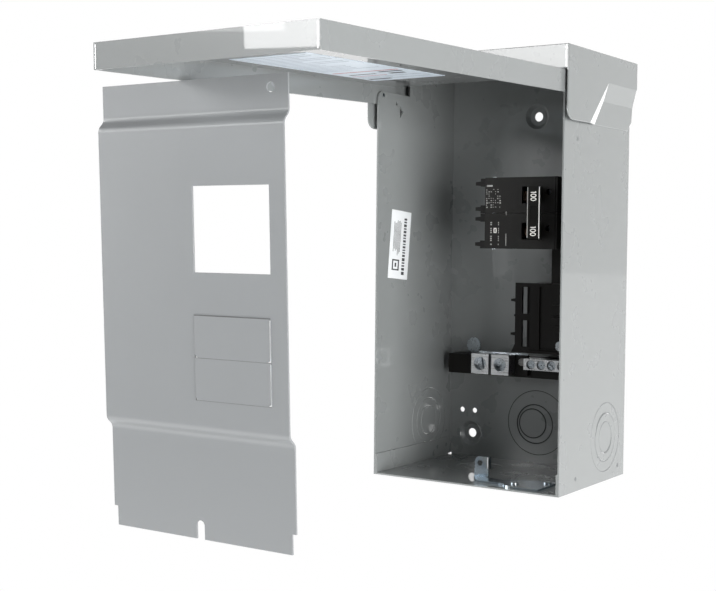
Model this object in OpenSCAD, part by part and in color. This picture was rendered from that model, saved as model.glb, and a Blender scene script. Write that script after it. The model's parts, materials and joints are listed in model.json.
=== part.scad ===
/* Two-space outdoor load center: sheet-steel box with rain hood, raised hinged
   cover, dead front taken off, two-pole main breaker, branch base and neutral.
   Frame: X to the right, Y to the wall, Z up. The origin is the centre of the
   upper mounting hole, on the wall plane. Inside the file the parts are drawn
   from the outside of the back panel and the outside of the floor, and place()
   moves them to that frame. All sizes in millimetres. */

/* [Enclosure] */
// Outside width of the box
box_w = 149.4; // [148.8:0.1:151]
// Depth of the box, front edge to back panel
box_d = 111.4; // [110.8:0.1:111.6]
// Height to the top of the rain hood
hood_top = 303.6; // [303:0.1:306]
// Sheet thickness of box, hood, cover and dead front
sheet = 1.2; // [1.1:0.05:1.25]
// Height of the front part of the side walls
wall_top = 281.3; // [281:0.1:282]
// Radius of the mounting holes
mount_r = 3.5; // [3.2:0.1:4]
// How far the mounting feet stand off the back panel
foot_h = 3; // [2.5:0.1:4]

/* [Cover] */
// Length of the cover from the pivot to its lower end
cover_l = 289.5; // [287:0.5:291]
// Outside width of the cover
cover_w = 153.6; // [153.2:0.1:153.8]
// Depth of the cover's flanges
cover_flange = 15.1; // [13:0.1:15.3]
// Angle by which the raised cover droops
droop = 1.45; // [1.4:0.05:3]
// Radius of the cover's pivot rivets
pivot_r = 1.5; // [1.2:0.1:1.7]

/* [Dead front] */
// Width of the dead front plate
plate_w = 143.9; // [142:0.1:144]
// Height of the dead front plate
plate_h = 275.5; // [274:0.1:276]
// Depth of the two joggles
joggle = 4.83; // [4:0.1:5.5]
// Width of the breaker window
window_w = 57; // [56.9:0.1:57.6]
// Height of the breaker window
window_h = 50.8; // [50.8:0.1:51.4]
// Angle by which the removed plate leans forward
plate_lean = 2.4; // [2.2:0.1:3]

/* [Breaker] */
// Spacing of the poles
pole_pitch = 25.3; // [25.2:0.05:25.35]
// Thickness of one pole
pole_t = 25.0; // [24.9:0.05:25.1]
// Radius of the line lugs' wire holes
line_r = 4.8; // [4.4:0.1:4.8]

/* [Neutral] */
// Radius of the neutral lugs' wire holes
neutral_r = 4.4; // [4:0.1:4.4]
// Spacing of the neutral bar's screws
bar_pitch = 8.45; // [8.4:0.05:8.5]
// Number of wire places on the neutral bar
bar_n = 6; // [3:1:6]

/* [Hidden] */
$fn = 64;

t = sheet;
xi = box_w/2 - t;              // inside face of a side wall
xo = box_w/2;                  // outside face of a side wall
z_mount = 268.5;               // upper mounting hole
foot_pts = [[0, z_mount], [-54.6, 19.2], [54.6, 19.2]];
yp = -104.6;                   // cover pivot, behind the front edge
zp = 278.9;
fx = box_w/2 + 5.1;            // outside face of a hood flap
hood_y = -117.2;               // front face of the hood's lip
cz = 8.37;                     // cover's outer face above the pivot
cxo = cover_w/2;
z_b = 167.3;                   // underside of the lower pole
pole_z = [z_b + pole_pitch, z_b];
pc = pole_t/2;                 // pole centre above its underside
hx = 39.5; hy = -74;           // handle pivot
on_tilt = 15;                  // handle's lean when on
ax = 34; ay = -60;             // contact arm pivot
df_pos = [-65.1, -315.7, -9.4];// lower edge of the removed plate
ko_side = [-35, 32];
ko_back = [3.9, 32.4];
ko_floor = [-24, -42];
bar_x0 = 12.4;

steel = [0.64, 0.66, 0.67];
black = [0.10, 0.10, 0.10];
zinc = [0.62, 0.68, 0.72];
alu = [0.78, 0.79, 0.80];
copper = [0.72, 0.45, 0.30];

// To the part's own frame
module place() translate([0, -foot_h, -z_mount]) children();
// Plate in the YZ plane from a (y, z) outline, from x0 over th
module yz(pts, x0, th) translate([x0, 0, 0]) rotate([90, 0, 90]) linear_extrude(th) polygon(pts);
// Plate in the XZ plane from an (x, z) outline, from y0 over th
module xz(pts, y0, th) translate([0, y0 + th, 0]) rotate([90, 0, 0]) linear_extrude(th) polygon(pts);
// Block from corner to corner
module blk(a, b) translate(a) cube([b[0]-a[0], b[1]-a[1], b[2]-a[2]]);
module cx(x, y, z, r, h) translate([x, y, z]) rotate([0, 90, 0]) cylinder(r = r, h = h);
module cy(x, y, z, r, h) translate([x, y, z]) rotate([-90, 0, 0]) cylinder(r = r, h = h);
module cz_(x, y, z, r, h) translate([x, y, z]) cylinder(r = r, h = h);

// ---------------------------------------------------------------- enclosure
function wall_pts() = concat([[-box_d, 0]],
    [for (a = [180:-15:90]) [-box_d + 5 + 5*cos(a), wall_top - 5 + 5*sin(a)]],
    [[-68.5, wall_top], [-68.5, hood_top - t], [0, hood_top - t], [0, 0]]);

module foot(p) translate([p[0], 0, p[1]]) rotate([-90, 0, 0])
    rotate_extrude() polygon([[9.7, -t], [7, foot_h - t], [mount_r, foot_h - t], [mount_r, foot_h],
                              [7.7, foot_h], [10.5, -0.3], [10.5, -t]]);

module enclosure_wrapper() color(steel) place() {
    difference() {
        union() {
            blk([-xo, -t, 0], [xo, 0, hood_top - t]);
            yz(wall_pts(), -xo, t);
            yz(wall_pts(), xi, t);
        }
        for (p = foot_pts) cy(p[0], -t - 1, p[1], 9.7, t + 2);
        cy(0, -t - 1, z_mount + 12.6, 1.3, 1.5);
        cy(-62.4, -t - 1, 37.7, 2, t + 2);
        cy(-51.2, -t - 1, 37.7, 2, t + 2);
        cy(-52.5, -t - 1, 90, 4.2, t + 2);
        cy(ko_back[0], -t - 1, ko_back[1], 25.2, t + 2);
        for (s = [-1, 1]) {
            cx(s*(xi + t/2) - 2, ko_side[0], ko_side[1], 25.2, 4);
            cx(s*(xi + t/2) - 2, yp, zp, pivot_r, 4);
            yz([[-87.9, 276.3], [-84.9, 273.7], [-87.9, 272.7]], s*(xi + t/2) - 2, 4);
            yz([[-82.4, 273.4], [-77.4, 268.8], [-81.8, 263.8]], s*(xi + t/2) - 2, 4);
            cy(s*(xi - 0.4), -t - 3, 1.3, 1.15, 6);
        }
        for (p = base_screw_pts) cy(p[0], -t - 1, p[1], 1.65, t + 2);
        for (p = neutral_screw_pts) cy(p[0], -t - 1, p[1], 1.65, t + 2);
    }
    for (p = foot_pts) foot(p);
}

module bottom_end_wall() color(steel) place() difference() {
    union() {
        blk([-xi, -box_d, 0], [xi, -t, t]);
        for (s = [-1, 1]) yz([[-box_d, 0], [-box_d, 15.1], [-6, 15.1], [-t, 10], [-t, 0]],
                             s > 0 ? xi - t : -xi, t);
    }
    cz_(ko_floor[0], ko_floor[1], -1, 25.2, t + 2);
    for (s = [-1, 1]) cy(s*(xi - 0.4), -6, 1.3, 1.15, 6);
    cz_(37.6, -57, -1, 0.9, t + 2);
    cz_(60, -103, -1, 0.9, t + 2);
}

// One folded flap of the hood: the front bulges out to clear the cover's
// flange and the rear lower part is pressed in to the wall
module flap() {
    xw = box_w/2 + t;
    x1 = xw + (fx - xw)*0.23;
    po = [[fx, hood_y, hood_top], [fx, hood_y, 261.9], [fx, -116.59, 258.84], [fx, -114.86, 256.24],
          [fx, -112.26, 254.51], [fx, -109.2, 253.9], [fx, -81.6, 253.9], [xw, -66, 253.9],
          [xw, -7, 253.9], [xw + (x1 - xw)*6.6/17.1, 0, 260.5], [x1, 0, 271], [fx, 0, 284],
          [fx, t, 284], [fx, t, hood_top], [fx, -51, hood_top],
          [fx, -51, 284], [fx, -64.2, 271], [x1, -53.2, 271], [x1 + (fx - x1)*10/13, -48.6, 281]];
    n = len(po);
    pi_ = [for (p = po) [p[0] - t, p[1], p[2]]];
    outer = [[0, 1, 2, 3, 4, 5, 6, 16, 15, 14], [14, 15, 11, 12, 13], [15, 16, 17], [15, 17, 18], [16, 6, 7],
             [16, 7, 17], [15, 18, 11], [11, 18, 10], [18, 17, 10], [17, 7, 8, 9, 10]];
    rim = [0, 1, 2, 3, 4, 5, 6, 7, 8, 9, 10, 11, 12, 13, 14];
    m = len(rim);
    function rev(f) = [for (i = [len(f)-1:-1:0]) f[i]];
    polyhedron(points = concat(po, pi_),
        faces = concat([for (f = outer) rev(f)], [for (f = outer) [for (i = f) i + n]],
            [for (i = [0:m-1]) let (a = rim[i], b = rim[(i+1) % m]) [a, b, b + n, a + n]]),
        convexity = 6);
}

module rain_hood() color(steel) place() {
    blk([-fx + t, hood_y, hood_top - t], [fx - t, t, hood_top]);
    blk([-fx + t, hood_y, hood_top - 16.2], [fx - t, hood_y + t, hood_top - t]);
    blk([-fx + t, 0, 284], [fx - t, t, hood_top - t]);
    flap();
    mirror([1, 0, 0]) flap();
}

// Concentric knockouts, sheared and held by small ties: outline radii from the
// inside out, each with its own centre offset; drawn in XY, thickness in Z
gap = 0.12;
module ko(c1, r1, c2, r2, th) {
    difference() { cylinder(r = 25.18, h = th); translate([c2[0], c2[1], -1]) cylinder(r = r2 + gap, h = th + 2);
        difference() { translate([0, 0, -1]) cylinder(r = 26, h = th + 2); translate([0, 0, -2]) cylinder(r = 25.2 - gap, h = th + 4);
            for (a = [25, 205]) rotate(a) translate([24, -1.2, -3]) cube([4, 2.4, th + 6]); } }
    translate([0, 0, 0.3]) difference() { translate([c2[0], c2[1], 0]) cylinder(r = r2, h = th);
        translate([c1[0], c1[1], -1]) cylinder(r = r1 + gap, h = th + 2); }
    translate([c1[0], c1[1], 0]) cylinder(r = r1, h = th);
    for (a = [70, 250]) translate([c2[0], c2[1], 0.3]) rotate(a) translate([r2 - 1, -1, 0]) cube([1.6, 2, th - 0.3]);
    for (a = [160, 340]) translate([c1[0], c1[1], 0.3]) rotate(a) translate([r1 - 1, -1, 0]) cube([1.6, 2, th - 0.3]);
}

module knockouts_left() color(steel) place() translate([-xi, ko_side[0], ko_side[1]])
    rotate([0, -90, 0]) ko([0, 0], 11.2, [0, 0], 17.4, t);
module knockouts_right() color(steel) place() translate([xi, ko_side[0], ko_side[1]])
    rotate([0, 90, 0]) ko([0, 0], 11.2, [0, 0], 17.4, t);
module knockouts_back() color(steel) place() translate([ko_back[0], -t, ko_back[1]])
    rotate([-90, 0, 0]) ko([-3.9, 0.8], 11.2, [-2, 1.2], 15, t);
module knockouts_bottom() color(steel) place() translate([ko_floor[0], ko_floor[1], t])
    rotate([180, 0, 0]) ko([0, 0], 11.2, [0, 0], 17.4, t);

module hole_plug() color([0.7, 0.71, 0.71]) place() {
    cy(-52.5, -t - 0.8, 90, 6, 0.8);
    cy(-52.5, -t, 90, 4.2, t);
}

module wall_label() color([0.86, 0.88, 0.89]) place()
    yz([[-91.6, 195.7], [-97, 144.8], [-70.1, 142.6], [-64.7, 193.5]], -xi, 0.25);

// ---------------------------------------------------------------- cover
module cover_pivot_rivets() color(zinc) place() for (s = [-1, 1]) scale([s, 1, 1])
    difference() {
        union() {
            cx(xi, yp, zp, pivot_r, 4.2);
            cx(xo, yp, zp, 2.2, 0.8);
            cx(cxo + 0.15, yp, zp, 2.8, 0.95);
        }
        cx(xi - 1, yp, zp, 0.8, 2.4);
    }

module cover_at() place() translate([0, yp, zp]) rotate([droop, 0, 0]) children();
module cover_pan() color(steel) cover_at() difference() {
    union() {
        blk([-cxo, -cover_l, cz - t], [cxo, 19, cz]);
        blk([-cxo, -cover_l, cz - cover_flange], [cxo, -cover_l + t, cz]);
        for (s = [-1, 1]) yz([[-cover_l, cz], [-cover_l, cz - cover_flange], [8, cz - cover_flange],
                              [14, -4.4], [19, 2.5], [19, cz]], s > 0 ? cxo - t : -cxo, t);
    }
    for (s = [-1, 1]) cx(s*(cxo - t/2) - 2, 0, 0, pivot_r + 0.08, 4);
}
module cover_label() color([0.86, 0.89, 0.92]) cover_at()
    blk([-61, -192, cz - t - 0.25], [-3, -32, cz - t]);

// ---------------------------------------------------------------- dead front
// Points of a bend of radius bend_r at b, between the legs to a and c
bend_r = 5;
function unit(v) = v/norm(v);
function bend(a, b, c) = let (u = unit(a - b), w = unit(c - b), th = acos(u*w), o = b + unit(u + w)*bend_r/sin(th/2),
    p = b + u*bend_r/tan(th/2) - o, q = b + w*bend_r/tan(th/2) - o) [for (k = [0:4]) o + unit(p*(4 - k) + q*k)*bend_r];
module plate_at() place() translate(df_pos) rotate([plate_lean, 0, 0]) children();
module dead_front_plate() color(steel) plate_at() difference() {
    yz(concat([[0, 0]], bend([0, 0], [0, 64.3], [-joggle, 68.7]), bend([0, 64.3], [-joggle, 68.7], [-joggle, 249.3]),
        bend([-joggle, 68.7], [-joggle, 249.3], [0, 253.7]), bend([-joggle, 249.3], [0, 253.7], [0, plate_h]),
        [[0, plate_h], [t, plate_h]],
        bend([t, plate_h], [t, 253.5], [t - joggle, 249.1]), bend([t, 253.5], [t - joggle, 249.1], [t - joggle, 68.9]),
        bend([t - joggle, 249.1], [t - joggle, 68.9], [t, 64.5]), bend([t - joggle, 68.9], [t, 64.5], [t, 0]),
        [[t, 0]]), -plate_w/2, plate_w);
    for (s = [-1, 1]) blk([s > 0 ? 69 : -80, -1, -1], [s > 0 ? 80 : -69, 3, 12.3]);
    cy(-0.3, -1, 8.5, 3.05, 4);
    blk([-3.35, -1, -1], [2.75, 3, 8.5]);
    blk([3.5, -joggle - 1, 162.3], [3.5 + window_w, 2 - joggle, 162.3 + window_h]);
    cy(59.4, -1, 268, 2.9, 4);
    blk([2.6, -joggle - 1, 86], [59.8, 2 - joggle, 137]);
}
// A twistout panel: proud of the plate, held by one tie at each end
module twist(z0, z1) {
    difference() {
        blk([2.85, -joggle - 0.5, z0], [59.55, t - joggle - 0.5, z1]);
        for (x = [2.85, 59.55 - 3]) for (z = [z0]) translate([x, 0, z]) difference() {
            blk([x < 30 ? -1 : 0, -10, -1], [x < 30 ? 3 : 4, 2, 3]);
            cy(x < 30 ? 3 : 0, -11, 3, 3, 14);
        }
    }
    for (x = [2.6, 59.55]) blk([x, -joggle + 0.05, (z0 + z1)/2 - 1.3], [x + 0.25, t - joggle - 0.5, (z0 + z1)/2 + 1.3]);
}
module twistout_upper() color(steel) plate_at() twist(111.7, 136.75);
module twistout_lower() color(steel) plate_at() twist(86.25, 111.3);

module dead_front_bracket() color(zinc) place() difference() {
    union() {
        xz(concat([[-5.1, t], [-5.1, 12.4]], [for (a = [180:-15:90]) [-0.7 + 4.4*cos(a), 12.4 + 4.4*sin(a)]],
                  [[6.1, 16.8], [6.1, t]]), -84, 1.5);
        blk([4.6, -84, 7.8], [6.1, -79.5, 16.8]);
        linear_extrude(t + 1.5) polygon(concat([[-5.1, -82.5], [-5.1, -85], [4.2, -100], [23, -100]],
            [for (a = [195:15:270]) [36 + 9*cos(a), -98.2 + 9*sin(a)]],
            [[57, -108], [57, -73.5], [46.3, -76.5], [23.5, -83.5], [20.5, -88.3], [6.1, -88.3], [6.1, -82.5]]));
    }
    blk([-10, -120, -1], [70, 0, t]);
    cy(-0.7, -86, 12.2, 2.1, 5);
    cz_(52, -82, -1, 1.6, 6);
    cz_(34, -97, -1, 1.6, 6);
}
module bracket_rivets() color(zinc) place() for (p = [[52, -82], [34, -97]]) {
    cz_(p[0], p[1], t + 1.5, 2.6, 1);
    cz_(p[0], p[1], t, 1.6, 1.5);
}

// ---------------------------------------------------------------- branch base
base_screw_pts = [[37, 95.4], [43, 153], [18, 208], [46, 208]];
stab_z = [pole_z[0] + pc, pole_z[1] + pc, 128.9, 103.4];
module bus_base() color(black) place() difference() {
    union() {
        xz([[-4.1, 89], [73.2, 89], [73.2, 216.5], [8, 216.5], [8, 168.5], [28.5, 168.5], [28.5, 141.5],
            [-1.2, 141.5], [-1.2, 95.5]], -31, 2.5);
        difference() {
            xz([[10, 89], [73.2, 89], [73.2, 216.5], [8, 216.5], [8, 168.5], [28.5, 168.5], [28.5, 141.5], [10, 141.5]], -28.5, 28.5 - t);
            xz([[12.5, 91.5], [71, 91.5], [71, 214], [10.5, 214], [10.5, 171], [31, 171],
                [31, 139], [12.5, 139]], -28.6, 28.7);
        }
        for (p = base_screw_pts) cy(p[0], -28.6, p[1], 4.6, 28.6 - t);
        for (z = [114.6, 139.9]) blk([30.5, -34, z], [72, -31, z + 1.6]);
        blk([10, -33, 89], [72, -31, 90.6]);
        // locating pegs along the left edge
        for (z = [127.6, 102.1]) xz([[-4.8, z], [-1.2, z - 0.5], [-1.2, z + 2.1], [-4.8, z + 1.6]], -31, 2.5);
        xz([[-2.1, 116.4], [-1.2, 116], [-1.2, 117.8], [-2.1, 117.4]], -31, 2.5);
        // barrier round each stab
        for (z = [128.9, 103.4]) difference() {
            blk([50, -44, z - 9], [70, -31, z + 9]);
            blk([52, -45, z - 7], [68, -31, z + 7]);
        }
    }
    for (z = [[118.4, 138.4], [93.4, 113.4]]) {
        blk([4.4, -32, z[0]], [8.8, -28, z[1]]);
        blk([9.5, -32, z[0]], [11.5, -30.1, z[1]]);
    }
    difference() {
        blk([18.9, -31.1, 92], [71.5, -29.7, 139]);
        for (z = [108.4, 113.6, 124.5]) blk([29, -32, z], [50, -29, z + (z == 113.6 ? 3.6 : 1.2)]);
        for (z = [128.9, 103.4]) blk([49, -32, z - 10], [80, -29, z + 10]);
    }
    for (z = stab_z) blk([56.4, -32, z - 1.6], [63.6, -28, z + 1.6]);
    for (p = base_screw_pts) { cy(p[0], -32, p[1], 1.7, 33); if (p[1] > 165) cy(p[0], -32, p[1], 3.7, 3); }
}
module base_screws() color(zinc) place() for (p = base_screw_pts) translate([p[0], p[1] > 165 ? 2.2 : 0, p[1]]) difference() {
    union() { cy(0, -33.4, 0, 3.6, p[1] > 165 ? 2.2 : 2.4); cy(0, -31.4, 0, 1.6, p[1] > 165 ? 29 : 31.2); }
    blk([-4, -34, -0.5], [4, -32.4, 0.5]);
}
module stab(z, x0) { blk([x0, -28.5, z - 2.5], [x0 > 60 ? 65.5 : 64, -26, z + 2.5]); blk([57, -45.5, z - 1], [63, -26.1, z + 1]); }
module bus_bar_line_1() color(copper) place() {
    blk([65.4, -28.5, 100], [70.6, -26, 208.5]);
    for (z = [stab_z[0], stab_z[3]]) { blk([57, -28.5, z - 2.5], [65.5, -26, z + 2.5]); blk([57, -45.5, z - 1], [63, -26.1, z + 1]); }
}
module bus_bar_line_2() color(copper) place() {
    blk([51.6, -28.5, 126], [58, -26, 183]);
    for (z = [stab_z[1], stab_z[2]]) { blk([51.6, -28.5, z - 2.5], [63.2, -26, z + 2.5]); blk([57, -45.5, z - 1], [63, -26.1, z + 1]); }
}

// ---------------------------------------------------------------- neutral
neutral_screw_pts = [[2.2, 81.2], [68.5, 77]];
neutral_lug_x = [-29.1, -11.9];
neutral_lug_z = [71, 86.4];
cover_y = -24;                 // black cover over the link's first screw
module neutral_insulator() color(black) place() difference() {
    union() {
        difference() {
            blk([-64.7, -20, 69], [72.4, -t, 84]);
            blk([-62.2, -17, 71.5], [69.9, 0, 81.5]);
        }
        for (p = neutral_screw_pts) cy(p[0], -17.1, p[1] > 79 ? 79 : p[1], 4.4, 17.1 - t);
        blk([-4.3, cover_y, 71], [6.2, -21.4, 86.2]);
        blk([5.1, -21.5, 71], [6.2, -19.9, 76.9]);
    }
    for (p = neutral_screw_pts) cy(p[0], -25, p[1], 1.7, 26);
}
module neutral_link() color(zinc) place() difference() {
    blk([-37, -21.4, 71.1], [65.4, -20, 87.4]);
    blk([5, -22, 84.5], [70, -19, 90]);
    blk([5, -22, 70], [70, -19, 77]);
    cy(neutral_screw_pts[0][0], -22, neutral_screw_pts[0][1], 1.7, 3);
}
module neutral_lugs() color(alu) place() for (x = neutral_lug_x) difference() {
    blk([x - 7.4, -34.2, neutral_lug_z[0]], [x + 7.4, -21.4, neutral_lug_z[1]]);
    cz_(x, -26.9, 60, neutral_r, 40);
    cy(x, -35, 78.9, 5.2, 10.1);
}
module neutral_lug_screws() color(zinc) place() for (i = [0, 1]) difference() {
    union() {
        cy(neutral_lug_x[i], -29.4, 78.9, 5.1, 4.4);
        cy(neutral_lug_x[i], -25.1, 78.9, 2.6, 1.2);
    }
    translate([neutral_lug_x[i], -29.4, 78.9]) rotate([0, i > 0 ? -42 : 82, 0]) cube([12, 3.2, 1.4], center = true);
}
module neutral_bar() color(alu) place() difference() {
    blk([6.4, -31, 76.1], [62, -21.4, 84.5]);
    for (i = [0:bar_n-1]) {
        cz_(bar_x0 + i*bar_pitch, -25.6, 70, 2.3, 20);
        cy(bar_x0 + i*bar_pitch, -32, 80.3, 3.55, 5.2);
    }
}
module neutral_bar_screws() color(zinc) place() for (i = [0:bar_n-1]) difference() {
    union() { cy(bar_x0 + i*bar_pitch, -29.8, 80.3, 3.0, 2.4); cy(bar_x0 + i*bar_pitch, -27.5, 80.3, 1.9, 1.4); }
    translate([bar_x0 + i*bar_pitch, -29.8, 80.3]) rotate([0, [-40, -22, 45, -70, -15, -44][i], 0]) cube([8, 1.6, 0.9], center = true);
}
module neutral_fixing_screws() color([0.3, 0.27, 0.25]) place() for (p = neutral_screw_pts) let (y = p[0] < 10 ? cover_y : -20) difference() {
    union() { cy(p[0], y - 1.8, p[1], 2.8, 1.8); cy(p[0], y - 0.1, p[1], 1.6, -y - 0.1); }
    blk([p[0] - 4, y - 2.5, p[1] - 0.45], [p[0] + 4, y - 1, p[1] + 0.45]);
}

// ---------------------------------------------------------------- main breaker
pole_out = [[-5.2, -80], [3.9, -80], [3.9, -90], [60, -90], [60, -80], [68, -80], [68, -31.2], [-5.2, -31.2]];
pole_in = [[-3.2, -78], [5.9, -78], [5.9, -88], [58, -88], [58, -78], [66, -78], [66, -33.2], [-3.2, -33.2]];
rivet_pts = [[8.6, -84.6], [54.6, -37], [1.2, -37.5], [63, -74.5]];
module pole_cuts(z0) {
    c = z0 + pc;
    blk([33, -91, c - 5.9], [47.6, -87, c + 5.9]);
    blk([-6, -81, c - 6.8], [3.7, -70, c + 6.8]);
    blk([-6, -64.1, c - 6], [-2, -52.9, c + 6]);
    blk([55.6, -34, c - 4], [64.4, -30, c + 4]);
    cy(53.2, -91, c + 2, 2.2, 5);
    blk([58.5, -91, z0 - 1], [59.2, -89.3, z0 + pole_t + 1]);
    for (p = rivet_pts) cz_(p[0], p[1], z0 - 1, 1.45, pole_t + 2);
}
module pole_case(z0, lower) color(black) place() difference() {
    union() {
        difference() {
            translate([0, 0, z0]) linear_extrude(pole_t - 2) polygon(pole_out);
            translate([0, 0, z0 + 2]) linear_extrude(pole_t) polygon(pole_in);
        }
        for (z = [z0 + 3.1, z0 + 21.3]) xz([[-9.3, z - 1.2], [-5.2, z - 1.6], [-5.2, z + 1.6], [-9.3, z + 1.2]], -80, 4);
    }
    pole_cuts(z0);
    if (!lower) cz_(ax, ay, z0 - 1, 2.1, 4);
}
module pole_lid(z0, lower) color(black) place() difference() {
    translate([0, 0, z0 + pole_t - 2]) linear_extrude(2) polygon(pole_out);
    pole_cuts(z0);
    if (lower) cz_(ax, ay, z0 + pole_t - 3, 2.1, 4);
}
module breaker_case_upper() pole_case(pole_z[0], false);
module breaker_case_lower() pole_case(pole_z[1], true);
module breaker_lid_upper() pole_lid(pole_z[0], false);
module breaker_lid_lower() pole_lid(pole_z[1], true);
module breaker_rivets() color(zinc) place() for (p = rivet_pts)
    cz_(p[0], p[1], z_b - 0.5, 1.4, pole_pitch + pole_t + 1);
module line_lugs() color(alu) place() for (z0 = pole_z) difference() {
    blk([-3, -70, z0 + pc - 6.6], [8, -50, z0 + pc + 6.6]);
    cx(-5, 0 - 58.5, z0 + pc, line_r, 20);
    cy(0.2, -71, z0 + pc, 2.75, 6.8);
}
module line_lug_screws() color(zinc) place() for (z0 = pole_z) difference() {
    cy(0.2, -73.4, z0 + pc, 2.7, 9.1);
    blk([-4, -74, z0 + pc - 0.6], [4, -72.2, z0 + pc + 0.6]);
}
module fixed_contacts() color(copper) place() for (z0 = pole_z) {
    blk([8, -52, z0 + pc - 4], [20.5, -50.5, z0 + pc + 4]);
    cy(18, -53.4, z0 + pc, 2.2, 1.5);
}
module contact_arms() color(copper) place() {
    for (z0 = pole_z) {
        translate([0, 0, z0 + pc - 2.2]) linear_extrude(4.4)
            polygon([[36.5, -62], [30, -62.2], [16, -58.4], [16, -55.6], [20, -55.4], [31, -57.6], [36.5, -58]]);
        cy(18, -55.7, z0 + pc, 2, 2);
    }
    cz_(ax, ay, z_b + 2.3, 2, pole_pitch + pole_t - 4.6);
}
module arc_chutes() color([0.45, 0.45, 0.46]) place() for (z0 = pole_z) {
    for (y = [-56, -58.8, -61.6, -64.4]) blk([9.2, y - 0.9, z0 + pc - 7.6], [14.6, y, z0 + pc + 7.6]);
    for (s = [-1, 1]) blk([9.2, -66, z0 + pc + (s > 0 ? 7.6 : -8.6)], [14.6, -55, z0 + pc + (s > 0 ? 8.6 : -7.6)]);
    for (s = [-1, 1]) blk([9.2, -66, z0 + pc + (s > 0 ? 8.6 : -10.5)], [12, -63, z0 + pc + (s > 0 ? 10.5 : -8.6)]);
}
module bimetal_trips() color([0.7, 0.62, 0.45]) place() for (z0 = pole_z) {
    blk([49.4, -80, z0 + pc - 3.5], [50.4, -49.5, z0 + pc + 3.5]);
    blk([46.5, -49.5, z0 + pc - 4], [50.4, -46.6, z0 + pc + 4]);
}
module trip_magnets() color([0.5, 0.5, 0.52]) place() for (z0 = pole_z) difference() {
    blk([45.4, -67, z0 + pc - 7], [53.4, -58, z0 + pc + 7]);
    blk([46.9, -71, z0 + pc - 5.5], [54, -57, z0 + pc + 5.5]);
}
module load_jaws() color(copper) place() for (z0 = pole_z) {
    blk([50.4, -48, z0 + pc - 4], [64.5, -46.6, z0 + pc + 4]);
    for (s = [-1, 1]) blk([57, -46.6, z0 + pc + (s > 0 ? 1.05 : -2.05)], [63, -35, z0 + pc + (s > 0 ? 2.05 : -1.05)]);
}
module load_screws() color(zinc) place() for (z0 = pole_z) difference() {
    union() { cy(53.2, -85.4, z0 + pc + 2, 2.1, 3.4); cy(53.2, -82.1, z0 + pc + 2, 1.5, 34.1); }
    blk([50, -86, z0 + pc + 1.6], [58, -84.6, z0 + pc + 2.4]);
}
module on() translate([hx, hy, 0]) rotate([0, 0, on_tilt]) children();
module breaker_toggles() color(black) place() on() for (z0 = pole_z) difference() {
    union() {
        translate([0, 0, z0 + pc - 5]) cylinder(r = 8.5, h = 10);
        blk([-2.8, -20, z0 + pc - 5], [2.8, -3, z0 + pc + 5]);
    }
    translate([0, 0, z0]) cylinder(r = 1.55, h = pole_t);
}
module handle_tie_bar() color(black) place() on() difference() {
    blk([-4.4, -25, z_b + 7.1], [4.4, -20, z_b + 43.4]);
    blk([-2.6, -26, z_b + 20.2], [2.6, -24.2, z_b + 30.3]);
}
module handle_pins() color(zinc) place() for (z0 = pole_z)
    cz_(hx, hy, z0 + 2, 1.5, pole_t - 4);

enclosure_wrapper();
bottom_end_wall();
rain_hood();
knockouts_left();
knockouts_right();
knockouts_back();
knockouts_bottom();
hole_plug();
wall_label();
cover_pivot_rivets();
cover_pan();
cover_label();
dead_front_plate();
twistout_upper();
twistout_lower();
dead_front_bracket();
bracket_rivets();
bus_base();
base_screws();
bus_bar_line_1();
bus_bar_line_2();
neutral_insulator();
neutral_link();
neutral_lugs();
neutral_lug_screws();
neutral_bar();
neutral_bar_screws();
neutral_fixing_screws();
breaker_case_upper();
breaker_case_lower();
breaker_lid_upper();
breaker_lid_lower();
breaker_rivets();
line_lugs();
line_lug_screws();
fixed_contacts();
contact_arms();
arc_chutes();
bimetal_trips();
trip_magnets();
load_jaws();
load_screws();
breaker_toggles();
handle_tie_bar();
handle_pins();
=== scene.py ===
import bpy, bmesh, json, math, random
from mathutils import Vector, Matrix

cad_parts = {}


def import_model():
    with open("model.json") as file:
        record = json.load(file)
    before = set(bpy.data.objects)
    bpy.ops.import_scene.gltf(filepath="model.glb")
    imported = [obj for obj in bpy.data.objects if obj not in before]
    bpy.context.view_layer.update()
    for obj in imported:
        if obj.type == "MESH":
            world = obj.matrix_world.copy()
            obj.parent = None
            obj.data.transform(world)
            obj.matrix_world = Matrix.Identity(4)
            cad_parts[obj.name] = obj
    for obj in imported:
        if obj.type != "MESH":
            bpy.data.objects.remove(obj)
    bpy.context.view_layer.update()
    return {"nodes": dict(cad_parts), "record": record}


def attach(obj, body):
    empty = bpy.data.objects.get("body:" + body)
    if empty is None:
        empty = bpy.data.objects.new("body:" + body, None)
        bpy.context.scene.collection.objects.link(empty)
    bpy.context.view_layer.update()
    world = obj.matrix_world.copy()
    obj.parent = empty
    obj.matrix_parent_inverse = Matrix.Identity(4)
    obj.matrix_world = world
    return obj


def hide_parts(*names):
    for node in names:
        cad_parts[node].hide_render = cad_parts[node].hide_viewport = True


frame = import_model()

N = frame["nodes"]
sc = bpy.context.scene
MM = 0.001
OFF = Vector((0, -3.0, -268.5))          # drawing frame (back panel, floor) to the part's frame, mm


def P(x, y, z):
    return (Vector((x, y, z)) + OFF) * MM


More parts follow.
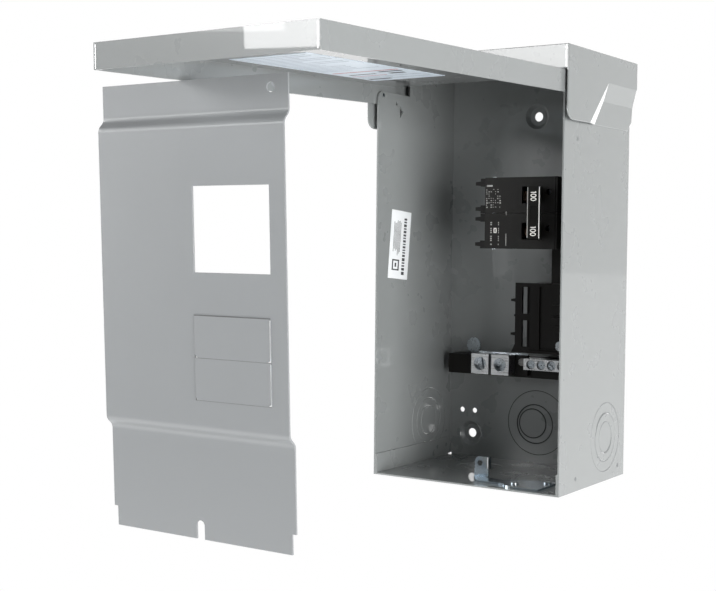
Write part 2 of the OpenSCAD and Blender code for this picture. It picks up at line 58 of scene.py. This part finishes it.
# ------------------------------------------------------------------ camera
def camera():
    a, e, r = math.radians(34.0012), math.radians(2.5526), math.radians(0.5266)
    back = Vector((math.sin(a) * math.cos(e), -math.cos(a) * math.cos(e), math.sin(e)))
    right = Vector((math.cos(a), math.sin(a), 0))
    up = back.cross(right).normalized()
    r2 = right * math.cos(r) + up * math.sin(r)
    u2 = -right * math.sin(r) + up * math.cos(r)
    d = bpy.data.cameras.new("camera")
    d.sensor_fit = "HORIZONTAL"
    d.sensor_width = 36
    d.lens = 65.577
    d.shift_x = 0.00027
    d.shift_y = 0.00356
    d.clip_start = 0.02
    d.clip_end = 60
    o = bpy.data.objects.new("camera", d)
    sc.collection.objects.link(o)
    m = Matrix((r2, u2, back)).transposed().to_4x4()
    m.translation = Vector((0.44990, -0.91521, -0.09591))
    o.matrix_world = m
    sc.camera = o


camera()
sc.view_settings.view_transform = "Standard"
sc.view_settings.look = "None"


# ------------------------------------------------------------------ materials
def srgb(r, g, b):
    def f(c):
        c /= 255.0
        return c / 12.92 if c <= 0.04045 else ((c + 0.055) / 1.055) ** 2.4
    return (f(r), f(g), f(b), 1)


class Mat:
    """A small helper round one Principled material."""

    def __init__(self, name):
        self.m = bpy.data.materials.new(name)
        self.m.use_nodes = True
        self.t = self.m.node_tree
        self.t.nodes.clear()
        self.out = self.t.nodes.new("ShaderNodeOutputMaterial")
        self.bsdf = self.t.nodes.new("ShaderNodeBsdfPrincipled")
        self.t.links.new(self.bsdf.outputs[0], self.out.inputs[0])
        tc = self.t.nodes.new("ShaderNodeTexCoord")
        self.obj = tc.outputs["Object"]

    def n(self, kind, **kw):
        x = self.t.nodes.new(kind)
        for k, v in kw.items():
            setattr(x, k, v)
        return x

    def link(self, a, b):
        self.t.links.new(a, b)

    def noise(self, scale, detail=2.0, rough=0.5, vec=None, dim="3D"):
        x = self.n("ShaderNodeTexNoise", noise_dimensions=dim)
        x.inputs["Scale"].default_value = scale
        x.inputs["Detail"].default_value = detail
        x.inputs["Roughness"].default_value = rough
        self.link(vec or self.obj, x.inputs["Vector"])
        return x.outputs["Fac"]

    def ramp(self, fac, stops):
        x = self.n("ShaderNodeValToRGB")
        el = x.color_ramp.elements
        while len(el) < len(stops):
            el.new(0.5)
        for e, (p, c) in zip(el, stops):
            e.position = p
            e.color = c if len(c) == 4 else (*c, 1)
        self.link(fac, x.inputs[0])
        return x.outputs[0]

    def mapr(self, fac, a, b, c, d):
        x = self.n("ShaderNodeMapRange")
        for k, v in zip(("From Min", "From Max", "To Min", "To Max"), (a, b, c, d)):
            x.inputs[k].default_value = v
        self.link(fac, x.inputs["Value"])
        return x.outputs["Result"]

    def mix(self, fac, a, b, mode="MIX"):
        x = self.n("ShaderNodeMix", data_type="RGBA", blend_type=mode)
        for s, v in ((x.inputs[0], fac), (x.inputs[6], a), (x.inputs[7], b)):
            if hasattr(v, "links"):
                self.link(v, s)
            else:
                s.default_value = v
        return x.outputs[2]

    def math(self, op, a, b=None):
        x = self.n("ShaderNodeMath", operation=op)
        for s, v in zip(x.inputs, (a, b)):
            if v is None:
                continue
            if hasattr(v, "links"):
                self.link(v, s)
            else:
                s.default_value = v
        return x.outputs[0]

    def bump(self, height, strength, dist, base=None):
        x = self.n("ShaderNodeBump")
        x.inputs["Strength"].default_value = strength
        x.inputs["Distance"].default_value = dist
        self.link(height, x.inputs["Height"])
        if base:
            self.link(base, x.inputs["Normal"])
        return x.outputs[0]

    def edge(self, radius):
        """0 on flat faces, rising to 1 along edges."""
        b = self.n("ShaderNodeBevel", samples=4)
        b.inputs["Radius"].default_value = radius
        g = self.n("ShaderNodeNewGeometry")
        d = self.n("ShaderNodeVectorMath", operation="DOT_PRODUCT")
        self.link(b.outputs[0], d.inputs[0])
        self.link(g.outputs["Normal"], d.inputs[1])
        return self.mapr(d.outputs["Value"], 0.965, 0.84, 0.0, 1.0)


def paint(name, col, rough=0.28, coat=1.0, spots=True):
    m = Mat(name)
    c = Vector(col[:3])
    lo, hi = (*(c * 0.993), 1), (*(c * 1.007), 1)
    broad = m.noise(14, 3, 0.55)
    fine = m.noise(420, 2, 0.6)
    tint = m.ramp(broad, [(0.3, lo), (0.7, hi)])
    grain = m.ramp(fine, [(0.35, (*(c * 0.995), 1)), (0.65, (*(c * 1.005), 1))])
    base = m.mix(0.5, tint, grain)
    # thin scuffs and a few specks left by handling
    if spots:
        sp = m.mapr(m.noise(230, 1, 0.3), 0.775, 0.80, 0.0, 1.0)
        base = m.mix(m.math("MULTIPLY", sp, 0.008), base, (*(c * 0.55), 1))
    # painted highlight: edges lightened towards a paler grey, broken up by noise
    e = m.edge(0.0007)
    edge_highlight_breakup = m.mapr(m.noise(90, 3, 0.6), 0.3, 0.7, 0.6, 1.0)
    base = m.mix(m.math("MULTIPLY", m.math("MULTIPLY", e, edge_highlight_breakup), 0.30), base, (*[min(1, v * 1.45) for v in c], 1))
    m.link(base, m.bsdf.inputs["Base Color"])
    rv = m.mapr(m.noise(35, 3, 0.6), 0.3, 0.7, rough - 0.015, rough + 0.02)
    m.link(rv, m.bsdf.inputs["Roughness"])
    m.bsdf.inputs["Coat Weight"].default_value = coat
    m.bsdf.inputs["Coat Roughness"].default_value = 0.018
    m.bsdf.inputs["IOR"].default_value = 1.5
    peel = m.bump(m.noise(650, 2, 0.55), 0.006, 0.0004)
    wave = m.bump(m.noise(9, 1, 0.4), 0.004, 0.003, peel)
    m.link(wave, m.bsdf.inputs["Normal"])
    return m.m


def zinc(name, col=(0.56, 0.60, 0.63), rough=0.28, blue=0.5, grain=0.015):
    m = Mat(name)
    c = Vector(col)
    a = m.noise(120, 4, 0.6)
    b = m.noise(900, 2, 0.5)
    base = m.ramp(a, [(0.3, (*(c * 0.88), 1)), (0.55, (*c, 1)), (0.75, (min(1, c[0] * 1.1), min(1, c[1] * 1.12), min(1, c[2] * 1.2), 1))])
    irid = m.ramp(m.noise(60, 2, 0.5), [(0.4, (0.62, 0.66, 0.72, 1)), (0.5, (0.55, 0.66, 0.80, 1)), (0.6, (0.76, 0.72, 0.62, 1))])
    base = m.mix(0.22 * blue, base, irid)
    # painted highlight: edges lightened towards near white
    e = m.edge(0.0004)
    base = m.mix(m.math("MULTIPLY", e, 0.25), base, (0.85, 0.87, 0.88, 1))
    m.link(base, m.bsdf.inputs["Base Color"])
    m.bsdf.inputs["Metallic"].default_value = 1.0
    m.link(m.mapr(b, 0.3, 0.7, rough - 0.02, rough + 0.03), m.bsdf.inputs["Roughness"])
    m.link(m.bump(m.noise(1400, 2, 0.5), grain, 0.0002), m.bsdf.inputs["Normal"])
    return m.m


def brushed(name, col, rough=0.32, along=0, scale=1500):
    m = Mat(name)
    c = Vector(col)
    mp = m.n("ShaderNodeMapping")
    s = [1.0, 1.0, 1.0]
    s[along] = 0.06
    mp.inputs["Scale"].default_value = s
    m.link(m.obj, mp.inputs["Vector"])
    streak = m.noise(scale, 3, 0.6, mp.outputs[0])
    cloud = m.noise(70, 3, 0.5)
    base = m.ramp(streak, [(0.3, (*(c * 0.86), 1)), (0.7, (*[min(1, v * 1.08) for v in c], 1))])
    base = m.mix(m.mapr(cloud, 0.35, 0.7, 0.0, 0.35), base, (*(c * 0.7), 1))
    m.link(base, m.bsdf.inputs["Base Color"])
    m.bsdf.inputs["Metallic"].default_value = 1.0
    m.link(m.mapr(streak, 0.3, 0.7, rough - 0.06, rough + 0.10), m.bsdf.inputs["Roughness"])
    m.link(m.bump(streak, 0.16, 0.0002), m.bsdf.inputs["Normal"])
    return m.m


def plastic(name, col, rough=0.42, grain=900, depth=0.0003, edge_highlight_gain=1.9, dust=0.10):
    m = Mat(name)
    c = Vector(col)
    base = m.ramp(m.noise(45, 3, 0.55), [(0.3, (*(c * 0.85), 1)), (0.7, (*(c * 1.18), 1))])
    d = m.mapr(m.noise(260, 4, 0.7), 0.60, 0.78, 0.0, 1.0)
    base = m.mix(m.math("MULTIPLY", d, dust), base, (0.16, 0.155, 0.145, 1))
    # painted highlight: edges lightened by edge_highlight_gain
    e = m.edge(0.0004)
    base = m.mix(m.math("MULTIPLY", e, 0.45), base, (*[v * edge_highlight_gain + 0.01 for v in c], 1))
    m.link(base, m.bsdf.inputs["Base Color"])
    m.link(m.mapr(m.noise(130, 3, 0.6), 0.3, 0.7, rough - 0.06, rough + 0.08), m.bsdf.inputs["Roughness"])
    m.bsdf.inputs["IOR"].default_value = 1.5
    m.bsdf.inputs["Specular IOR Level"].default_value = 0.2
    m.link(m.bump(m.noise(grain, 2, 0.6), 0.22, depth), m.bsdf.inputs["Normal"])
    return m.m


def paper(name, col, rough=0.5):
    m = Mat(name)
    c = Vector(col)
    base = m.ramp(m.noise(60, 3, 0.6), [(0.3, (*(c * 0.94), 1)), (0.7, (*[min(1, v * 1.03) for v in c], 1))])
    fib = m.noise(1800, 2, 0.6)
    base = m.mix(m.mapr(fib, 0.4, 0.7, 0.0, 0.10), base, (*(c * 0.8), 1))
    m.link(base, m.bsdf.inputs["Base Color"])
    m.link(m.mapr(fib, 0.3, 0.7, rough - 0.05, rough + 0.06), m.bsdf.inputs["Roughness"])
    m.bsdf.inputs["Coat Weight"].default_value = 0.15
    m.bsdf.inputs["Coat Roughness"].default_value = 0.3
    m.link(m.bump(m.noise(40, 2, 0.4), 0.12, 0.0006), m.bsdf.inputs["Normal"])
    return m.m


def ink(name, col, rough=0.55):
    m = Mat(name)
    c = Vector(col)
    base = m.ramp(m.noise(2500, 2, 0.6), [(0.35, (*(c * 0.8), 1)), (0.7, (*[min(1, v * 1.15 + 0.01) for v in c], 1))])
    m.link(base, m.bsdf.inputs["Base Color"])
    m.link(m.mapr(m.noise(900, 2, 0.5), 0.3, 0.7, rough - 0.05, rough + 0.08), m.bsdf.inputs["Roughness"])
    return m.m


GREY = (0.238, 0.250, 0.249)
M = {
    "enclosure_paint": paint("enclosure_paint", GREY),
    "cover_paint": paint("cover_paint", (0.240, 0.252, 0.252)),
    # the dead front has the same paint as the cover; its paler colour is painted light that brightens it beyond what
    # the lamps give
    "deadfront_paint": paint("deadfront_paint", (0.262, 0.273, 0.280), 0.32, 0.4),
    "label": paper("label", (0.80, 0.82, 0.83)),
    "zinc": zinc("zinc", (0.46, 0.50, 0.53)),
    "dark_zinc": zinc("dark_zinc", (0.16, 0.15, 0.14), 0.38, 0.3),
    "thermoset": plastic("thermoset", (0.0050, 0.0048, 0.0042), 0.5, dust=0.015),
    "base_plastic": plastic("base_plastic", (0.0045, 0.0038, 0.0032), 0.45, dust=0.01),
    "aluminium": brushed("aluminium", (0.72, 0.73, 0.74), 0.30, 0),
    "copper": brushed("copper", (0.34, 0.22, 0.16), 0.40, 2),
    "steel": brushed("steel", (0.42, 0.42, 0.43), 0.42, 2),
    "bimetal": brushed("bimetal", (0.66, 0.58, 0.42), 0.35, 1),
}
for s in frame["record"]["subparts"]:
    o = N[s["node"]]
    o.data.materials.clear()
    o.data.materials.append(M[s["material_slot"]])
# a darker blue-tinted zinc for the dead-front bracket; the darker colour is painted shade on its foot
BRACKET_ZINC_PAINTED_SHADE = zinc("bracket_zinc_painted_shade", (0.26, 0.32, 0.36), 0.22, 0.9, 0.02)
N["dead_front_bracket"].data.materials.clear()
N["dead_front_bracket"].data.materials.append(BRACKET_ZINC_PAINTED_SHADE)
LABEL2 = paper("cover_label_face", (0.68, 0.76, 0.84), 0.42)
N["cover_label"].data.materials.clear()
N["cover_label"].data.materials.append(LABEL2)


# ------------------------------------------------------------------ soft edges on the CAD pieces
def soften(name, width, segs=2, angle=32):
    o = N[name]
    w = o.modifiers.new("weld", "WELD")
    w.merge_threshold = 0.000004
    d = o.modifiers.new("planar", "DECIMATE")
    d.decimate_type = "DISSOLVE"
    d.angle_limit = math.radians(0.6)
    b = o.modifiers.new("bevel", "BEVEL")
    b.width = width
    b.segments = segs
    b.limit_method = "ANGLE"
    b.angle_limit = math.radians(angle)
    b.use_clamp_overlap = True
    b.harden_normals = False
    b.miter_outer = "MITER_ARC" if segs > 2 else "MITER_SHARP"


# ------------------------------------------------------------------ stage and light
def stage():
    bpy.ops.mesh.primitive_plane_add(size=40, location=(0, 6, -0.80))
    f = bpy.context.object
    f.name = "floor"
    m = Mat("floor_pale")
    m.bsdf.inputs["Base Color"].default_value = (0.45, 0.45, 0.45, 1)
    m.bsdf.inputs["Roughness"].default_value = 0.9
    # gives light under the object and beside it, little in front of it
    sep = m.n("ShaderNodeSeparateXYZ")
    m.link(m.obj, sep.inputs[0])
    glow = m.mapr(sep.outputs["Y"], -7.9, -6.9, 0.10, 0.85)
    m.bsdf.inputs["Emission Color"].default_value = (1, 1, 1, 1)
    m.link(glow, m.bsdf.inputs["Emission Strength"])
    lp = m.n("ShaderNodeLightPath")
    white = m.n("ShaderNodeEmission")
    mx = m.n("ShaderNodeMixShader")
    m.link(lp.outputs["Is Camera Ray"], mx.inputs[0])
    m.link(m.bsdf.outputs[0], mx.inputs[1])
    m.link(white.outputs[0], mx.inputs[2])
    m.link(mx.outputs[0], m.out.inputs[0])
    f.data.materials.append(m.m)


WORLD = ((0.12, 0.01), (0.97, 1.25), (0.30, 0.02), (0.50, 0.05), (0.70, 0.36), (0.86, 0.62))


def world():
    w = bpy.data.worlds.new("studio")
    sc.world = w
    w.use_nodes = True
    t = w.node_tree
    t.nodes.clear()
    out = t.nodes.new("ShaderNodeOutputWorld")
    lp = t.nodes.new("ShaderNodeLightPath")
    mix = t.nodes.new("ShaderNodeMixShader")
    white = t.nodes.new("ShaderNodeBackground")
    white.inputs[0].default_value = (1, 1, 1, 1)
    white.inputs[1].default_value = 1.0
    amb = t.nodes.new("ShaderNodeBackground")
    tc = t.nodes.new("ShaderNodeTexCoord")
    sep = t.nodes.new("ShaderNodeVectorMath")
    sep.operation = "DOT_PRODUCT"
    sep.inputs[1].default_value = (-0.33, 0.944, 0.0)
    t.links.new(tc.outputs["Generated"], sep.inputs[0])
    # bright behind the object and beside it, dark towards the camera
    mr = t.nodes.new("ShaderNodeMapRange")
    for k, v in zip(("From Min", "From Max", "To Min", "To Max"), (-1.0, 1.0, 0.0, 1.0)):
        mr.inputs[k].default_value = v
    t.links.new(sep.outputs["Value"], mr.inputs["Value"])
    cr = t.nodes.new("ShaderNodeValToRGB")
    el = cr.color_ramp.elements
    for i, (p, v) in enumerate(WORLD):
        e = el[i] if i < 2 else el.new(p)
        e.position = p
        e.color = (v, v, v, 1)
    t.links.new(mr.outputs["Result"], cr.inputs[0])
    t.links.new(cr.outputs[0], amb.inputs[0])
    amb.inputs[1].default_value = 1.0
    t.links.new(lp.outputs["Is Camera Ray"], mix.inputs[0])
    t.links.new(amb.outputs[0], mix.inputs[1])
    t.links.new(white.outputs[0], mix.inputs[2])
    t.links.new(mix.outputs[0], out.inputs[0])


def area(name, loc, target, size, power, col=(1, 1, 1)):
    d = bpy.data.lights.new(name, "AREA")
    d.shape = "RECTANGLE"
    d.size, d.size_y = size
    d.energy = power
    d.color = col
    o = bpy.data.objects.new(name, d)
    sc.collection.objects.link(o)
    o.location = loc
    o.rotation_euler = (Vector(target) - Vector(loc)).to_track_quat("-Z", "Y").to_euler()
    return o


stage()
world()
area("softbox_right", (1.92, -1.04, -0.22), (0, -0.12, -0.14), (1.3, 0.9), 58)
area("softbox_left", (-2.10, -1.07, 0.30), (0, -0.30, -0.1), (1.3, 1.5), 48)
area("softbox_front_left", (-0.96, -2.00, 0.40), (0, -0.12, 0.015), (0.49, 0.40), 6.2)
area("softbox_front_wide", (-1.53, -2.00, 0.38), (0, -0.12, 0.015), (0.60, 0.22), 1.3)
area("softbox_back", (0.10, 2.6, 0.30), (0, 0, 0.0), (0.72, 0.9), 3)


# ------------------------------------------------------------------ pieces made here
def piece(name, verts, faces, mat, body):
    me = bpy.data.meshes.new(name)
    me.from_pydata([P(*v) for v in verts], [], faces)
    bm = bmesh.new()
    bm.from_mesh(me)
    bmesh.ops.recalc_face_normals(bm, faces=bm.faces)
    bm.to_mesh(me)
    bm.free()
    me.materials.append(mat)
    o = bpy.data.objects.new(name, me)
    sc.collection.objects.link(o)
    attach(o, body)
    return o


BOXF = [(0, 1, 3, 2), (4, 6, 7, 5), (0, 4, 5, 1), (2, 3, 7, 6), (0, 2, 6, 4), (1, 5, 7, 3)]


def boxes(name, items, mat, body, to=lambda x, y, z: (x, y, z)):
    """Small blocks, each from its lowest to its highest corner, in a local drawing frame."""
    vs, fs = [], []
    for a, b in items:
        k = len(vs)
        vs += [to(x, y, z) for x in (a[0], b[0]) for y in (a[1], b[1]) for z in (a[2], b[2])]
        fs += [tuple(i + k for i in f) for f in BOXF]
    return piece(name, vs, fs, mat, body)


def loops(name, rings, mat, body, to):
    """Closed bodies of revolution: each is a list of (centre, radius, height) circles, joined in order and back to the first."""
    vs, fs = [], []
    n = 96
    for prof in rings:
        k = len(vs)
        m = len(prof)
        solid = prof[0][1] == 0
        if solid:
            prof = prof[1:]
            m -= 1
        for (cx, cy), rad, h in prof:
            vs += [to(cx + rad * math.cos(2 * math.pi * i / n), cy + rad * math.sin(2 * math.pi * i / n), h) for i in range(n)]
        for j in range(m - 1 if solid else m):
            a, b = k + j * n, k + ((j + 1) % m) * n
            fs += [(a + i, a + (i + 1) % n, b + (i + 1) % n, b + i) for i in range(n)]
        if solid:
            fs += [tuple(range(k, k + n)), tuple(range(k + (m - 1) * n, k + m * n))]
    return piece(name, vs, fs, mat, body)


def knockouts(node, c1, r1, c2, r2, to):
    """The three sheared slugs with rolled-over edges, standing for the plain CAD ones."""
    g, w, th = 0.14, 0.55, 1.2

    def disc(c, r, h0, h1):
        return [(c, 0, h0), (c, r - w, h0), (c, r, h0 + w * 0.7), (c, r, h1 - w * 0.7), (c, r - w, h1)]

    def ring(ci, ri, co, ro, h0, h1):
        e = w * 0.7
        return [(ci, ri, h0 + e), (ci, ri + w, h0), (co, ro - w, h0), (co, ro, h0 + e), (co, ro, h1 - e), (co, ro - w, h1), (ci, ri + w, h1), (ci, ri, h1 - e)]

    o = loops(node + "_rolled", [disc(c1, r1, 0, th), ring(c1, r1 + g, c2, r2, 0.3, th + 0.3), ring(c2, r2 + g, (0, 0), 25.05, 0, th)], M["enclosure_paint"], "root", to)
    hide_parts(node)
    ties = []
    for c, rad, angles in ((c1, r1, (160, 340)), (c2, r2, (70, 250)), ((0, 0), 25.0, (25, 205))):
        for a in angles:
            a = math.radians(a)
            x, y = c[0] + (rad + 0.1) * math.cos(a), c[1] + (rad + 0.1) * math.sin(a)
            ties.append(((x - 0.8, y - 0.8, 0.35), (x + 0.8, y + 0.8, 1.15)))
    boxes(node + "_ties", ties, M["enclosure_paint"], "root", to)
    for f in o.data.polygons:
        f.use_smooth = False


XI = 73.5
knockouts("knockouts_right", (0, 0), 11.2, (0, 0), 17.4, lambda x, y, h: (XI + h, -35 + y, 32 - x))
knockouts("knockouts_left", (0, 0), 11.2, (0, 0), 17.4, lambda x, y, h: (-XI - h, -35 + y, 32 + x))
knockouts("knockouts_back", (-3.9, 0.8), 11.2, (-2, 1.2), 15, lambda x, y, h: (3.9 + x, -1.2 + h, 32.4 - y))

INK = ink("ink_dark", (0.045, 0.046, 0.05))
# grey and white inks for the print, also used as painted highlights along the handle tie bar's edges
GREY_INK_AND_HIGHLIGHT = ink("grey_ink_and_highlight", (0.27, 0.27, 0.26))
WHITE_INK_AND_HIGHLIGHT = ink("white_ink_and_highlight", (0.86, 0.85, 0.82), 0.4)
INK_R = ink("ink_red", (0.42, 0.06, 0.07))
INK_G = ink("ink_grey", (0.36, 0.41, 0.47))
SHADE = ink("shade", (0.012, 0.012, 0.012), 0.8)
# near-white strips: painted highlights on edges and seams
HIGHLIGHT_EDGE = zinc("painted_highlight_edge", (0.86, 0.87, 0.88), 0.34, 0.0)
# dark greys for painted shade lines in grooves, gaps and dimples
SHADE_LINE = ink("painted_shade_line", (0.085, 0.088, 0.09), 0.5)
SHADE_LINE_SOFT = ink("painted_shade_line_soft", (0.18, 0.188, 0.192), 0.5)
SHADE_LINE_DEEP = ink("painted_shade_line_deep", (0.02, 0.021, 0.022), 0.6)


# painted shade: dark rings laid over the sheared lines round the slugs, for the shade in the groove between the
# rolled edges
def groove(name, c1, r1, c2, r2, h0, mat, to):
    def ring(c, rad):
        return [(c, rad - 0.32, h0), (c, rad + 0.46, h0), (c, rad + 0.46, h0 + 0.2), (c, rad - 0.32, h0 + 0.2)]
    loops(name, [ring(c1, r1), ring(c2, r2), ring((0, 0), 25.05)], mat, "root", to)


groove("knockout_groove_shade_back", (-3.9, 0.8), 11.2, (-2, 1.2), 15, 0.10, SHADE_LINE_DEEP, lambda x, y, h: (3.9 + x, -1.2 + h, 32.4 - y))
groove("knockout_groove_shade_right", (0, 0), 11.2, (0, 0), 17.4, 0.88, SHADE_LINE_SOFT, lambda x, y, h: (XI + h, -35 + y, 32 - x))
# painted highlight: a bright strip on the front edge of the bracket ear's side flange
boxes("bracket_edge_highlight", [((5.2, -84.08, 8.2), (6.1, -84.0, 16.6))], HIGHLIGHT_EDGE, "root")
rnd = random.Random(7)


# wall label: bars only
def wl(a, b, h):
    return (-XI + 0.25 + h, -91.6 + 26.9 * a - 5.4 * b, 195.7 - 2.2 * a - 50.9 * b)


items = []
b = 0.10
while b < 0.93:
    w = rnd.uniform(0.018, 0.05)
    items.append(((0.66, b, 0), (0.80, b + w, 0.04)))
    b += w + 0.018
for k in range(7):
    a = 0.16 + 0.055 * k
    items.append(((a, 0.14 + rnd.uniform(0, 0.05), 0), (a + 0.022, 0.62 + rnd.uniform(-0.06, 0.06), 0.04)))
items += [((0.16, 0.72, 0), (0.52, 0.74, 0.04)), ((0.16, 0.86, 0), (0.52, 0.88, 0.04)), ((0.16, 0.72, 0), (0.22, 0.88, 0.04)), ((0.46, 0.72, 0), (0.52, 0.88, 0.04)), ((0.30, 0.77, 0), (0.38, 0.83, 0.04))]
boxes("wall_label_print", items, INK, "root", wl)


# cover label: panels, lines and a coloured bar
def cv(x, y, z):
    d = math.radians(1.45)
    return (x, -104.6 + y * math.cos(d) - z * math.sin(d), 278.9 + y * math.sin(d) + z * math.cos(d))


ZL = 8.37 - 1.2 - 0.25
items = []
for k in range(24):
    y = -186 + k * 6.1
    if -96 < y < -60:
        continue
    x0, x1 = -58, rnd.choice((-9, -22, -33, -7))
    items.append(((x0, y, ZL - 0.03), (x1, y + 1.5, ZL)))
boxes("cover_label_lines", items, INK_G, "cover", cv)
boxes("cover_label_bar", [((-58, -88.5, ZL - 0.03), (-6, -86.2, ZL)), ((-58, -64, ZL - 0.03), (-30, -62.6, ZL))], INK_R, "cover", cv)
boxes("cover_label_marks", [((-26, -82, ZL - 0.03), (-8, -78, ZL)), ((-54, -74, ZL - 0.03), (-33, -71, ZL)), ((-24, -72, ZL - 0.03), (-12, -67, ZL)), ((-58, -44, ZL - 0.03), (-40, -40, ZL))], INK, "cover", cv)

# breaker print: dashes, no characters
items = [((5.2, -90.04, 211.2), (9.8, -90, 212.3))]
for i in range(7):
    for j in range(9):
        if rnd.random() < 0.72:
            x, z = 4.9 + i * 1.75, 209.4 - j * 1.55
            items.append(((x, -90.04, z - rnd.uniform(0.4, 1.0)), (x + rnd.uniform(0.4, 1.1), -90, z)))
for z in range(0, 12):
    if z % 4 != 2:
        items.append(((8.4, -90.04, 186.2 - z * 1.4 - 0.9), (9.6, -90, 186.2 - z * 1.4)))
        items.append(((14.6, -90.04, 186.2 - z * 1.4 - 1.0), (15.2, -90, 186.2 - z * 1.4)))
items += [((20.6, -90.04, 191.0), (21.1, -90, 193.6)), ((20.6, -90.04, 169.5), (21.1, -90, 178.0))]
boxes("breaker_print", items, GREY_INK_AND_HIGHLIGHT, "root")
boxes("breaker_mark", [((11.0, -90.05, 178.4), (13.4, -90, 179.2)), ((11.0, -90.05, 181.2), (13.4, -90, 182.0)), ((11.0, -90.05, 178.4), (11.7, -90, 182.0)), ((12.7, -90.05, 178.4), (13.4, -90, 182.0))], WHITE_INK_AND_HIGHLIGHT, "root")


# handle tie bar: painted highlights along both edges, white on the right and grey on the left, and plain rating
# numerals
def hd(x, y, z):
    c, q = math.cos(math.radians(15)), math.sin(math.radians(15))
    return (39.5 + x * c - y * q, -74 + x * q + y * c, z)


boxes("tie_bar_highlight_right", [((3.75, -25.04, 174.8), (4.35, -25, 210.3))], WHITE_INK_AND_HIGHLIGHT, "breaker_handle", hd)
boxes("tie_bar_highlight_left", [((-4.35, -25.04, 175.2), (-3.75, -25, 210.0))], GREY_INK_AND_HIGHLIGHT, "breaker_handle", hd)
rings = []
for zc in (204.3, 201.7, 180.2, 177.6):
    for k in range(16):
        a0 = 2 * math.pi * k / 16
        x, z = 1.75 * math.cos(a0), zc + 0.95 * math.sin(a0)
        rings.append(((x - 0.33, -25.05, z - 0.26), (x + 0.33, -25, z + 0.26)))
for zc in (206.4, 182.3):
    rings += [((-1.9, -25.05, zc - 0.28), (1.9, -25, zc + 0.28)), ((1.2, -25.05, zc - 0.28), (1.7, -25, zc + 0.7))]
boxes("tie_bar_numerals", rings, WHITE_INK_AND_HIGHLIGHT, "breaker_handle", hd)


# dead front: painted shade along the sheared lines round the twist-outs, with a painted highlight on their right
# edges
def df(x, y, z):
    c, q = math.cos(math.radians(2.4)), math.sin(math.radians(2.4))
    return (-65.1 + x, -315.7 + y * c - z * q, -9.4 + y * q + z * c)


yf = -4.83
boxes("twistout_shade_top", [((2.9, yf - 0.52, 136.65), (59.5, yf + 0.5, 137.15))], SHADE_LINE, "dead_front", df)
boxes("twistout_shade_lines", [((2.9, yf - 0.52, 111.3), (59.5, yf + 0.5, 111.7)), ((2.9, yf - 0.52, 85.95), (59.5, yf + 0.5, 86.3))], SHADE_LINE_SOFT, "dead_front", df)
boxes("twistout_shade_left", [((2.5, yf - 0.1, 87.0), (2.85, yf + 0.5, 110.8)), ((2.5, yf - 0.1, 112.2), (2.85, yf + 0.5, 136.3))], SHADE_LINE_SOFT, "dead_front", df)
boxes("twistout_highlight_right", [((59.52, yf - 0.53, 87.0), (60.0, yf + 0.5, 110.6)), ((59.52, yf - 0.53, 112.6), (60.0, yf + 0.5, 136.0))], HIGHLIGHT_EDGE, "dead_front", df)

# open corner seams of the cover and the hood, drawn as bright strips: painted highlight
boxes("cover_corner_seam_highlights", [((75.2, -289.54, -6.0), (75.75, -289.5, 7.4)), ((-75.75, -289.54, -6.0), (-75.2, -289.5, 7.4))], HIGHLIGHT_EDGE, "cover", cv)
boxes("hood_corner_seam_highlights", [((77.6, -117.24, 288.4), (78.2, -117.2, 302.6)), ((-78.2, -117.24, 288.4), (-77.6, -117.2, 302.6))], HIGHLIGHT_EDGE, "root")

# shade behind the lanced ears and at the end of the wall's front part
boxes("lance_shade", [((-75.0, -89.0, 262.8), (-74.8, -76.4, 277.4)), ((74.8, -89.0, 262.8), (75.0, -76.4, 277.4))], SHADE, "root")
boxes("wall_step_shade", [((-73.5, -69.9, 281.2), (-73.35, -68.6, 293.5))], SHADE, "root")
# spot-weld dimples where the floor's ends are fixed to the walls, coloured dark: painted shade in the dimples
welds = [[((y, z), 0, -0.1), ((y, z), 1.5, -0.1), ((y, z), 1.5, 0.05), ((y, z), 1.0, 0.09), ((y, z), 0.5, 0.03)] for y, z in ((-84.6, 8.6), (-11.3, 8.2), (-90.0, 242.6))]
loops("spot_weld_dimple_shade", welds, SHADE_LINE_SOFT, "root", lambda x, y, h: (74.7 + h, x, y))


for n in ("enclosure_wrapper", "bottom_end_wall", "rain_hood", "cover_pan", "dead_front_plate", "twistout_upper", "twistout_lower"):
    soften(n, 0.0005 if n in ("cover_pan", "rain_hood") else 0.00035)
